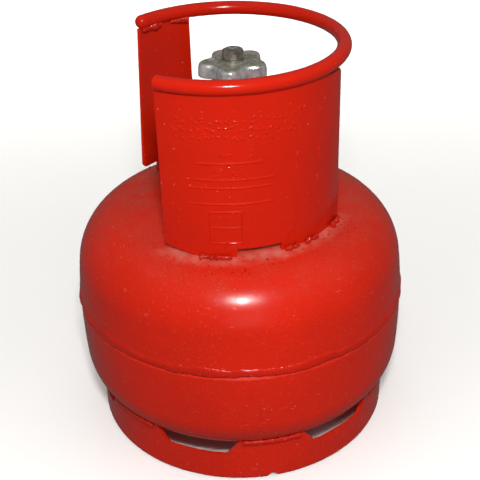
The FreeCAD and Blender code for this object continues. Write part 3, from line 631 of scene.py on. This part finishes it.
def valve():
    """Forged body: taper stem, wrench flats, column, and a threaded outlet."""
    gasket_low, gasket_high = low("outlet_gasket").z, high("outlet_gasket").z
    thread_major = (gasket_high - gasket_low) / 2 + 3.9 * MM
    # the rest of the sizes here are in millimetres
    bottom, top = low("valve_body").z / MM, high("valve_body").z / MM
    outlet_z = (gasket_low + gasket_high) / 2 / MM
    socket = high("valve_boss").z / MM
    stem = turned("stem", [(3.5, bottom), (12.6, bottom), (13.85, socket), (13.9, socket + 0.8),
                           (3.5, socket + 0.8)], 0.3)
    flats = chamfered_block(16.0 * MM, (socket + 0.6) * MM, (socket + 12.0) * MM, 19.8 * MM)
    column = turned("column", [(7.0, socket + 11.0), (14.0, socket + 11.0), (14.0, top - 6.0),
                               (13.2, top - 5.0), (13.2, top - 3.4), (14.0, top - 2.6), (14.0, top),
                               (11.2, top), (11.2, top - 7.0), (7.0, top - 8.0)], 0.7)
    outlet = outlet_mesh(low("valve_body").x, outlet_z * MM, thread_major)
    swell = turned("swell", [(2.0, outlet_z - 13.2), (14.4, outlet_z - 13.2), (15.4, outlet_z - 9.0),
                             (15.4, outlet_z + 9.0), (14.4, outlet_z + 13.2), (2.0, outlet_z + 13.2)], 2.0)
    piece = join("valve_forging", [stem, flats, column, outlet, swell])
    return stand_in(sharp_by_angle(piece, 45), "tank", "valve_brass", "valve_body")


def chamfered_block(half, z_low, z_high, corner):
    """A square block whose corners are turned to a radius, rims eased."""
    turns = np.linspace(0, 360, 240, endpoint=False)
    local = np.radians((turns + 45) % 90 - 45)
    radius = np.minimum(half / np.cos(local), corner)
    core = 2.0 * MM
    rim = [(0.0, 0.9 * MM), (0.25 * MM, 0.2 * MM), (0.9 * MM, 0.0)]
    sections = []
    for turn, reach in zip(turns, radius):
        outer = [(reach - inset, z_low + rise) for inset, rise in rim[::-1]]
        outer += [(reach - inset, z_high - drop) for inset, drop in rim]
        loop = [(core, z_low)] + outer + [(core, z_high)]
        sections.append(np.array([polar(r, turn, z) for r, z in loop]))
    return loft("flats", sections, closed=True)


def outlet_mesh(face_x, axis_z, major):
    """Outlet tube along -X with a real left-hand helical thread and its bore."""
    pitch = 25.4 * MM / 14
    depth = 1.05 * MM
    start = face_x + 0.2 * MM
    end = face_x + 15.0 * MM
    around = 72
    angles = np.linspace(0, 2 * math.pi, around, endpoint=False)
    stations = np.arange(start + 1.3 * MM, end, pitch / 9)
    bore = 3.8 * MM
    neck = major - 1.4 * MM
    nose = [(face_x + 3.0 * MM, bore), (face_x + 3.0 * MM, 6.9 * MM), (face_x + 0.5 * MM, 7.0 * MM),
            (face_x, 7.4 * MM), (face_x, major - 1.7 * MM), (face_x + 1.1 * MM, major - 1.1 * MM)]
    shank = [(end + 0.3 * MM, neck), (end + 3 * MM, neck), (end + 7 * MM, neck + 0.8 * MM),
             (-6 * MM, neck + 1.0 * MM), (-6 * MM, bore)]
    rings = list(nose)
    for x in stations:
        phase = ((x - start) / pitch - angles / (2 * math.pi)) % 1.0
        tooth = np.clip(np.abs(phase * 2 - 1) * 1.5 - 0.22, 0, 1)
        lead = min(1.0, (x - start) / (2.6 * MM)) * min(1.0, (end - x) / (1.2 * MM) + 0.25)
        rings.append((x, major - depth * (1 - tooth * lead)))
    rings += shank
    sections = []
    for x, radius in rings:
        y = radius * np.sin(angles)
        z = axis_z + radius * np.cos(angles)
        sections.append(np.stack([np.full(around, x), y, z], axis=-1))
    return loft("outlet", sections, closed=True)


# ---- hand-wheel -------------------------------------------------------------

def circle_reach(turns, azimuth, centre, size, side):
    """Where rays from the axis leave (side 1) or enter (side -1) a circle, else nan."""
    away = np.radians(turns - azimuth)
    inside = size ** 2 - (centre * np.sin(away)) ** 2
    hit = centre * np.cos(away) + side * np.sqrt(np.maximum(inside, 0))
    return np.where((inside > 0) & (np.cos(away) > 0), hit, np.nan)


def wheel_outline(turns):
    """The five-lobed plan radius, lobes broad and hollows tight."""
    lobe_centre, lobe, hollow_centre, hollow = 15.8 * MM, 6.6 * MM, 22.4 * MM, 6.4 * MM
    first_lobe, pitch = -8.0, 72.0
    radius = np.full(len(turns), lobe_centre + 1.5 * MM)
    for i in range(5):
        radius = np.fmax(radius, circle_reach(turns, first_lobe + pitch * i, lobe_centre, lobe, 1))
    for i in range(5):
        azimuth = first_lobe + pitch * (i + 0.5)
        radius = np.fmin(radius, circle_reach(turns, azimuth, hollow_centre, hollow, -1))
    half_width = 14
    spread = np.exp(-0.5 * (np.arange(-half_width, half_width + 1) / 5.0) ** 2)
    padded = np.concatenate([radius[-half_width:], radius, radius[:half_width]])
    return np.convolve(padded, spread / spread.sum(), mode="valid")


def cast_wheel():
    """The casting: hub, hollow underside, rounded rim and dished top."""
    base, top = low("handwheel").z, high("handwheel").z
    turns = np.linspace(-180, 180, 480, endpoint=False)
    plan = wheel_outline(turns)
    plan = plan + 0.08 * MM * ripple(turns, 51, 3, 6) - 0.1 * MM
    # each entry: share of the lobed plan, inset from it, round radius, height
    profile = [
        (0, 0, 4.6, base + 0.1 * MM), (0, 0, 7.0, base + 0.1 * MM), (0, 0, 7.6, base + 0.6 * MM),
        (0, 0, 7.9, top - 3.9 * MM), (0.4, 4.6, 8.9, top - 3.4 * MM), (1, 3.8, 0, top - 3.5 * MM),
        (1, 3.3, 0, top - 4.2 * MM), (1, 3.0, 0, base + 0.5 * MM), (1, 2.6, 0, base + 0.05 * MM),
        (1, 0.7, 0, base), (1, 0.15, 0, base + 0.5 * MM), (1, 0.0, 0, base + 2.0 * MM),
        (1, 0.1, 0, base + 4.5 * MM), (1, 0.35, 0, top - 2.4 * MM), (1, 0.55, 0, top - 1.7 * MM),
        (1, 0.95, 0, top - 1.05 * MM), (1, 1.5, 0, top - 0.5 * MM), (1, 2.2, 0, top - 0.15 * MM),
        (1, 3.2, 0, top), (1, 4.4, 0, top - 0.1 * MM), (0.85, 4.6, 14.6, top - 0.35 * MM),
        (0.6, 5.4, 13.0, top - 0.75 * MM), (0.3, 7.5, 11.0, top - 0.95 * MM),
        (0, 0, 9.2, top - 0.9 * MM), (0, 0, 8.3, top - 0.5 * MM), (0, 0, 7.6, top - 0.05 * MM),
        (0, 0, 6.8, top), (0, 0, 4.6, top)]
    sections = []
    for turn, r in zip(turns, plan):
        loop = []
        for index, (share, inset, round_r, z) in enumerate(profile):
            lobed = r - inset * MM
            radius = share * lobed + (1 - share) * round_r * MM
            rough = 0.05 * MM * math.sin(turn * 0.55 + index * 2.1) * share
            loop.append(polar(radius + rough, turn, z))
        sections.append(np.array(loop))
    piece = loft("cast_wheel", sections, closed=True)
    return stand_in(sharp_by_angle(piece, 60), "wheel", "cast_aluminium", "handwheel")


# ---- materials --------------------------------------------------------------

class Paper:
    """Short calls for building a node tree."""

    def __init__(self, name):
        self.material = bpy.data.materials.new(name)
        self.material.use_nodes = True
        self.tree = self.material.node_tree
        self.shader = self.tree.nodes["Principled BSDF"]
        self.place = self.node("ShaderNodeTexCoord").outputs["Object"]

    def node(self, kind, **settings):
        made = self.tree.nodes.new(kind)
        for key, value in settings.items():
            setattr(made, key, value)
        return made

    def feed(self, socket, value):
        """Link a node's output to a socket, or set a plain value on it."""
        if isinstance(value, bpy.types.NodeSocket):
            self.tree.links.new(value, socket)
        else:
            socket.default_value = value

    def noise(self, scale, detail=3.0, rough=0.5, stretch=None):
        made = self.node("ShaderNodeTexNoise")
        place = self.place
        if stretch:
            mapping = self.node("ShaderNodeMapping")
            mapping.inputs["Scale"].default_value = stretch
            self.feed(mapping.inputs["Vector"], place)
            place = mapping.outputs["Vector"]
        self.feed(made.inputs["Vector"], place)
        made.inputs["Scale"].default_value = scale
        made.inputs["Detail"].default_value = detail
        made.inputs["Roughness"].default_value = rough
        return made.outputs["Fac"]

    def specks(self, scale, size, soft):
        """1 inside small scattered spots."""
        made = self.node("ShaderNodeTexVoronoi")
        self.feed(made.inputs["Vector"], self.place)
        made.inputs["Scale"].default_value = scale
        return self.ramp(made.outputs["Distance"], size, size + soft, 1.0, 0.0)

    def ramp(self, value, start, end, low_value=0.0, high_value=1.0):
        """A smooth step from low_value at start to high_value at end."""
        made = self.node("ShaderNodeMapRange", interpolation_type="SMOOTHSTEP")
        self.feed(made.inputs["Value"], value)
        made.inputs["From Min"].default_value = start
        made.inputs["From Max"].default_value = end
        made.inputs["To Min"].default_value = low_value
        made.inputs["To Max"].default_value = high_value
        return made.outputs["Result"]

    def math(self, operation, first, second=0.0, third=None):
        made = self.node("ShaderNodeMath", operation=operation)
        self.feed(made.inputs[0], first)
        self.feed(made.inputs[1], second)
        if third is not None:
            self.feed(made.inputs[2], third)
        return made.outputs[0]

    def mix(self, share, first, second):
        """A colour mix; the node's colour sockets are inputs 6 and 7, output 2."""
        made = self.node("ShaderNodeMix", data_type="RGBA")
        self.feed(made.inputs["Factor"], share)
        self.feed(made.inputs[6], first)
        self.feed(made.inputs[7], second)
        return made.outputs[2]

    def split(self, vector):
        made = self.node("ShaderNodeSeparateXYZ")
        self.feed(made.inputs[0], vector)
        return made.outputs[0], made.outputs[1], made.outputs[2]

    def upward(self):
        """1 where the surface faces up, -1 where it faces down."""
        geometry = self.node("ShaderNodeNewGeometry")
        return self.split(geometry.outputs["Normal"])[2]

    def bump(self, height, distance, strength=1.0, onto=None):
        made = self.node("ShaderNodeBump")
        self.feed(made.inputs["Height"], height)
        made.inputs["Distance"].default_value = distance
        made.inputs["Strength"].default_value = strength
        if onto is not None:
            self.feed(made.inputs["Normal"], onto)
        return made.outputs["Normal"]

    def finish(self, color, roughness, normal, metallic=0.0, specular=0.5):
        """Wire up the shader and hand back the material."""
        self.feed(self.shader.inputs["Base Color"], color)
        self.feed(self.shader.inputs["Roughness"], roughness)
        self.feed(self.shader.inputs["Normal"], normal)
        self.shader.inputs["Metallic"].default_value = metallic
        self.shader.inputs["Specular IOR Level"].default_value = specular
        return self.material


def foot_dust(paper, x, y, z):
    """A pale ring of dust on the dome where the front plate stands on it."""
    moved = paper.math("SUBTRACT", x, GUARD_X)
    square = paper.math("ADD", paper.math("MULTIPLY", moved, moved), paper.math("MULTIPLY", y, y))
    radius = paper.math("SQRT", square)
    away = paper.math("ABSOLUTE", paper.math("SUBTRACT", radius, GUARD_RADIUS))
    near = paper.ramp(away, 0.001, 0.010, 1.0, 0.0)
    cloud = paper.ramp(paper.noise(120.0, 5.0, 0.6), 0.2, 0.8)
    near = paper.math("MULTIPLY", paper.math("MULTIPLY", near, cloud), 0.5)
    above = paper.ramp(z, PLATE_FOOT_Z - 0.012, PLATE_FOOT_Z - 0.006)
    near = paper.math("MULTIPLY", near, above)
    plate_middle = math.radians(17)
    forward = paper.math("SUBTRACT", paper.math("MULTIPLY", moved, math.sin(plate_middle)),
                         paper.math("MULTIPLY", y, math.cos(plate_middle)))
    return paper.math("MULTIPLY", near, paper.ramp(forward, 0.040, 0.052))


def enamel(name, red, deep, dust_and_shade_amount, gloss, peel, specular, halo=False):
    """Red enamel: uneven colour, dust lying on top that is partly painted shade, scuffs, pin-holes and
    peel.
    """
    # The dark brown is partly real dust and partly painted shade on the upward faces.
    brown_dust_and_shade, pale_dust = (0.25, 0.10, 0.058, 1.0), (0.62, 0.24, 0.18, 1.0)
    pale_speck, dark_speck = (0.78, 0.28, 0.2, 1.0), (0.075, 0.02, 0.012, 1.0)
    scuffed, salted = (0.74, 0.16, 0.10, 1.0), (0.75, 0.2, 0.12, 1.0)
    paper = Paper(name)
    broad = paper.noise(9.0, 3.0)
    fine = paper.noise(140.0, 5.0, 0.65)
    color = paper.mix(paper.ramp(broad, 0.3, 0.72), deep, red)
    color = paper.mix(paper.math("MULTIPLY", paper.ramp(fine, 0.35, 0.75), 0.16), color,
                      (deep[0] * 0.72, deep[1] * 0.9, deep[2], 1.0))
    # Dark brown on faces that look up, heavier towards the back: partly real dust, partly painted shade
    # that darkens the top of the dome.
    up = paper.ramp(paper.upward(), 0.35, 0.98)
    patch = paper.ramp(paper.noise(48.0, 6.0, 0.62), 0.25, 0.8)
    grain = paper.ramp(paper.noise(520.0, 3.0, 0.6), 0.15, 0.85)
    dust_and_shade = paper.math("MULTIPLY", paper.math("MULTIPLY", up, patch), grain)
    dust_and_shade = paper.math("MULTIPLY", dust_and_shade, dust_and_shade_amount)
    x, y, z = paper.split(paper.place)
    dust_and_shade = paper.math("MULTIPLY", dust_and_shade, paper.ramp(y, -0.075, 0.03, 0.5, 1.7))
    color = paper.mix(dust_and_shade, color, brown_dust_and_shade)
    if halo:
        near = foot_dust(paper, x, y, z)
        color = paper.mix(near, color, pale_dust)
        dust_and_shade = paper.math("MAXIMUM", dust_and_shade, near)
    pale = paper.math("MULTIPLY", paper.specks(165.0, 0.045, 0.05), paper.ramp(broad, 0.42, 0.6))
    color = paper.mix(paper.math("MULTIPLY", pale, 0.5), color, pale_speck)
    dark = paper.math("MULTIPLY", paper.specks(118.0, 0.04, 0.04),
                      paper.ramp(paper.noise(31.0, 2.0), 0.52, 0.6))
    color = paper.mix(paper.math("MULTIPLY", dark, 0.6), color, dark_speck)
    if halo:
        scuff = paper.ramp(paper.noise(95.0, 4.0, 0.6, (1.0, 1.0, 3.5)), 0.66, 0.74)
        color = paper.mix(paper.math("MULTIPLY", scuff, 0.3), color, scuffed)
        salt = paper.ramp(paper.noise(640.0, 2.0, 0.5), 0.6, 0.72)
        color = paper.mix(paper.math("MULTIPLY", salt, 0.09), color, salted)
    rough = paper.math("MULTIPLY_ADD", dust_and_shade, 0.5, gloss)
    rough = paper.math("MULTIPLY_ADD", paper.ramp(fine, 0.3, 0.8), 0.07, rough)
    rough = paper.math("ADD", rough, paper.math("MULTIPLY", paper.ramp(broad, 0.35, 0.7), 0.05))
    normal = paper.bump(paper.noise(330.0, 2.0, 0.5), 0.00012, peel)
    normal = paper.bump(paper.noise(42.0, 2.0, 0.4), 0.0006, peel * 0.5, normal)
    normal = paper.bump(paper.math("MAXIMUM", pale, dark), 0.00015, 0.6, normal)
    return paper.finish(color, rough, normal, specular=specular)


def brass():
    """Dull yellow brass with brown stains."""
    paper = Paper("valve_brass")
    cloud = paper.noise(60.0, 5.0, 0.6)
    color = paper.mix(paper.ramp(cloud, 0.3, 0.7), (0.42, 0.29, 0.12, 1), (0.66, 0.49, 0.23, 1))
    stain = paper.ramp(paper.noise(25.0, 4.0, 0.6), 0.55, 0.75)
    color = paper.mix(paper.math("MULTIPLY", stain, 0.6), color, (0.16, 0.12, 0.07, 1))
    rough = paper.ramp(cloud, 0.3, 0.75, 0.28, 0.52)
    normal = paper.bump(paper.noise(700.0, 3.0, 0.6), 0.00012, 0.4)
    return paper.finish(color, rough, normal, 1.0)


def cast_aluminium():
    """Bright where hands rub the rim, brown-grey with grime on top."""
    paper = Paper("cast_aluminium")
    up = paper.ramp(paper.upward(), 0.45, 0.92)
    cloud = paper.noise(190.0, 5.0, 0.6)
    bright = paper.mix(paper.ramp(cloud, 0.3, 0.7), (0.50, 0.50, 0.50, 1), (0.86, 0.86, 0.86, 1))
    grime = paper.mix(paper.ramp(paper.noise(420.0, 4.0, 0.65), 0.32, 0.7), (0.20, 0.19, 0.145, 1),
                      (0.46, 0.44, 0.35, 1))
    color = paper.mix(paper.math("MULTIPLY", up, 0.92), bright, grime)
    streak = paper.ramp(paper.noise(160.0, 3.0, 0.6, (1.0, 1.0, 0.18)), 0.5, 0.72)
    color = paper.mix(paper.math("MULTIPLY", streak, 0.45), color, (0.10, 0.10, 0.105, 1))
    rough = paper.math("MULTIPLY_ADD", up, 0.3, 0.27)
    rough = paper.math("MULTIPLY_ADD", paper.ramp(cloud, 0.35, 0.7), 0.12, rough)
    normal = paper.bump(paper.noise(850.0, 4.0, 0.6), 0.00022, 0.6)
    normal = paper.bump(paper.noise(210.0, 2.0, 0.5), 0.0004, 0.4, normal)
    return paper.finish(color, rough, normal, 0.7)


def plated_steel():
    """Yellowed zinc plate with specks of rust."""
    paper = Paper("plated_steel")
    cloud = paper.noise(260.0, 4.0, 0.6)
    color = paper.mix(paper.ramp(cloud, 0.3, 0.7), (0.22, 0.21, 0.17, 1), (0.52, 0.50, 0.43, 1))
    rust = paper.ramp(paper.noise(330.0, 5.0, 0.7), 0.58, 0.72)
    color = paper.mix(paper.math("MULTIPLY", rust, 0.45), color, (0.15, 0.105, 0.06, 1))
    rough = paper.ramp(cloud, 0.3, 0.75, 0.3, 0.55)
    normal = paper.bump(paper.noise(1200.0, 3.0, 0.6), 0.0001, 0.5)
    return paper.finish(color, rough, normal, 0.85)


def moulded(name, dark, pale, roughness):
    """Rubber or plastic, a little cloudy."""
    paper = Paper(name)
    cloud = paper.noise(300.0, 4.0, 0.6)
    color = paper.mix(paper.ramp(cloud, 0.3, 0.7), dark, pale)
    rough = paper.ramp(cloud, 0.3, 0.7, roughness, roughness + 0.15)
    normal = paper.bump(paper.noise(900.0, 3.0), 0.0001, 0.4)
    return paper.finish(color, rough, normal)


def floor_material():
    """Plain pale card."""
    paper = Paper("floor_card")
    cloud = paper.noise(3.0, 2.0)
    color = paper.mix(cloud, (0.90, 0.89, 0.865, 1), (0.93, 0.92, 0.90, 1))
    normal = paper.bump(paper.noise(900.0, 2.0), 0.0001, 0.1)
    return paper.finish(color, 0.85, normal, specular=0.2)


def all_materials():
    """The finish of each slot, by the slot's name in the record."""
    return {
        "body_paint": enamel(
            "body_paint", (0.57, 0.013, 0.003, 1), (0.49, 0.012, 0.003, 1),
            dust_and_shade_amount=0.42, gloss=0.20, peel=0.42, specular=0.31, halo=True),
        "guard_paint": enamel(
            "guard_paint", (0.54, 0.012, 0.002, 1), (0.48, 0.010, 0.002, 1),
            dust_and_shade_amount=0.12, gloss=0.13, peel=0.2, specular=0.28),
        "weld_paint": enamel(
            "weld_paint", (0.50, 0.011, 0.003, 1), (0.40, 0.010, 0.003, 1),
            dust_and_shade_amount=0.2, gloss=0.16, peel=0.6, specular=0.28),
        "valve_brass": brass(),
        "plated_steel": plated_steel(),
        "cast_aluminium": cast_aluminium(),
        "black_rubber": moulded("black_rubber", (0.012, 0.012, 0.012, 1), (0.04, 0.04, 0.038, 1), 0.6),
        "white_polymer": moulded("white_polymer", (0.72, 0.70, 0.64, 1), (0.86, 0.85, 0.80, 1), 0.4),
    }


def dress(materials):
    """Give every object the finish of its slot."""
    slots = {part["node"]: part["material_slot"] for part in frame["record"]["subparts"]}
    for name, node in NODES.items():
        node.data.materials.clear()
        node.data.materials.append(materials[slots[name]])
    for obj in bpy.data.objects:
        wanted = obj.get("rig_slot")
        if wanted and obj.type == "MESH":
            obj.data.materials.clear()
            obj.data.materials.append(materials[wanted])


def soften(node, width):
    """A small bevel on a CAD node's real corners."""
    modifier = NODES[node].modifiers.new("soft_edges", "BEVEL")
    modifier.width = width
    modifier.segments = 2
    modifier.limit_method = "ANGLE"
    modifier.angle_limit = math.radians(42)


# ---- stage ------------------------------------------------------------------

CAMERA_PLACE = Vector((0.0008, -0.5702, 0.4631))
CAMERA_FORWARD = Vector((0.0, 0.85966, -0.51086))
CAMERA_ROLL = math.radians(-1.756)
CAMERA_LENS = 72.5
FLOOR_RADIUS = 1.75
FLOOR_LIGHT_POWERS = (7, 7, 11, 7)


def add_camera():
    """The camera at the main view, with its small roll."""
    forward = CAMERA_FORWARD.normalized()
    right = forward.cross(Vector((0, 0, 1))).normalized()
    up = right.cross(forward)
    turn = Matrix.Rotation(CAMERA_ROLL, 3, -forward)
    data = bpy.data.cameras.new("camera")
    data.lens = CAMERA_LENS
    data.sensor_width = 36.0
    camera = bpy.data.objects.new("camera", data)
    basis = Matrix((turn @ right, turn @ up, -forward)).transposed()
    camera.matrix_world = Matrix.Translation(CAMERA_PLACE) @ basis.to_4x4()
    bpy.context.scene.collection.objects.link(camera)
    bpy.context.scene.camera = camera


def add_area(name, place, target, size, power, spread=180, mirrored=False):
    """A square light; only a mirrored one shows up in reflections."""
    data = bpy.data.lights.new(name, "AREA")
    data.size = size
    data.energy = power
    data.spread = math.radians(spread)
    light = bpy.data.objects.new(name, data)
    light.location = place
    light.visible_glossy = mirrored
    aim = Vector(target) - Vector(place)
    light.rotation_euler = aim.to_track_quat("-Z", "Y").to_euler()
    bpy.context.scene.collection.objects.link(light)


def add_stage(material):
    """A round floor that takes shadows but throws no light back on the object."""
    data = bpy.data.meshes.new("floor")
    rim = [tuple(polar(FLOOR_RADIUS, turn, 0.0)) for turn in range(0, 360, 5)]
    data.from_pydata(rim, [], [tuple(range(len(rim)))])
    floor = bpy.data.objects.new("floor", data)
    bpy.context.scene.collection.objects.link(floor)
    data.materials.append(material)
    floor.visible_diffuse = False
    floor.visible_glossy = False


def add_world():
    """White where the camera sees it, a dimmer warm grey for everything else."""
    world = bpy.data.worlds.new("studio")
    bpy.context.scene.world = world
    world.use_nodes = True
    tree = world.node_tree
    seen = tree.nodes["Background"]
    seen.inputs[0].default_value = (1.0, 1.0, 1.0, 1.0)
    seen.inputs[1].default_value = 1.0
    around = tree.nodes.new("ShaderNodeBackground")
    around.inputs[0].default_value = (0.95, 0.95, 0.93, 1.0)
    around.inputs[1].default_value = 0.15
    rays = tree.nodes.new("ShaderNodeLightPath")
    blend = tree.nodes.new("ShaderNodeMixShader")
    tree.links.new(rays.outputs["Is Camera Ray"], blend.inputs[0])
    tree.links.new(around.outputs[0], blend.inputs[1])
    tree.links.new(seen.outputs[0], blend.inputs[2])
    tree.links.new(blend.outputs[0], tree.nodes["World Output"].inputs[0])


def add_lights():
    """One hard flash that glints, with soft lights round it and over the floor."""
    add_area("flash", (0.014, -0.59, 0.65), (0, 0, 0.14), 0.075, 4.8, mirrored=True)
    add_area("left_soft", (-1.1, -0.5, 1.0), (0, 0, 0.1), 0.9, 1.0)
    add_area("right_soft", (1.1, -0.5, 1.0), (0, 0, 0.1), 0.9, 1.0)
    add_area("top_soft", (0.0, 0.1, 1.5), (0, 0, 0.1), 1.2, 2.2)
    add_area("front_soft", (0.1, -1.2, 0.3), (0, 0, 0.08), 0.5, 4.2)
    for side, power in enumerate(FLOOR_LIGHT_POWERS):
        spot = polar(1.3, 90.0 * side, 1.1)
        below = (spot[0], spot[1] + 0.0001, 0)
        add_area(f"floor_light_{side}", spot, below, 1.3, power, spread=95)


def build():
    add_camera()
    girth_bead()
    foot_joint_bead()
    weld_set("foot_ring_welds", 0.0, 201, facing=-1, grow=0.8, rough=0.4)
    weld_set("front_plate_foot_welds", GUARD_X, 301, rough=1.5)
    weld_set("rear_plate_foot_welds", GUARD_X, 401)
    weld_set("front_plate_ring_welds", GUARD_X, 501)
    weld_set("rear_plate_ring_welds", GUARD_X, 601, grow=1.2, rough=1.7)
    spatter()
    front_plate()
    rear_plate()
    carrying_rod()
    valve()
    cast_wheel()
    soften("foot_ring", 0.35 * MM)
    soften("handwheel_nut", 0.25 * MM)
    soften("bonnet_nut", 0.3 * MM)
    soften("valve_boss", 0.4 * MM)
    dress(all_materials())
    add_stage(floor_material())
    add_lights()
    add_world()
    bpy.context.scene.view_settings.view_transform = "Standard"


build()
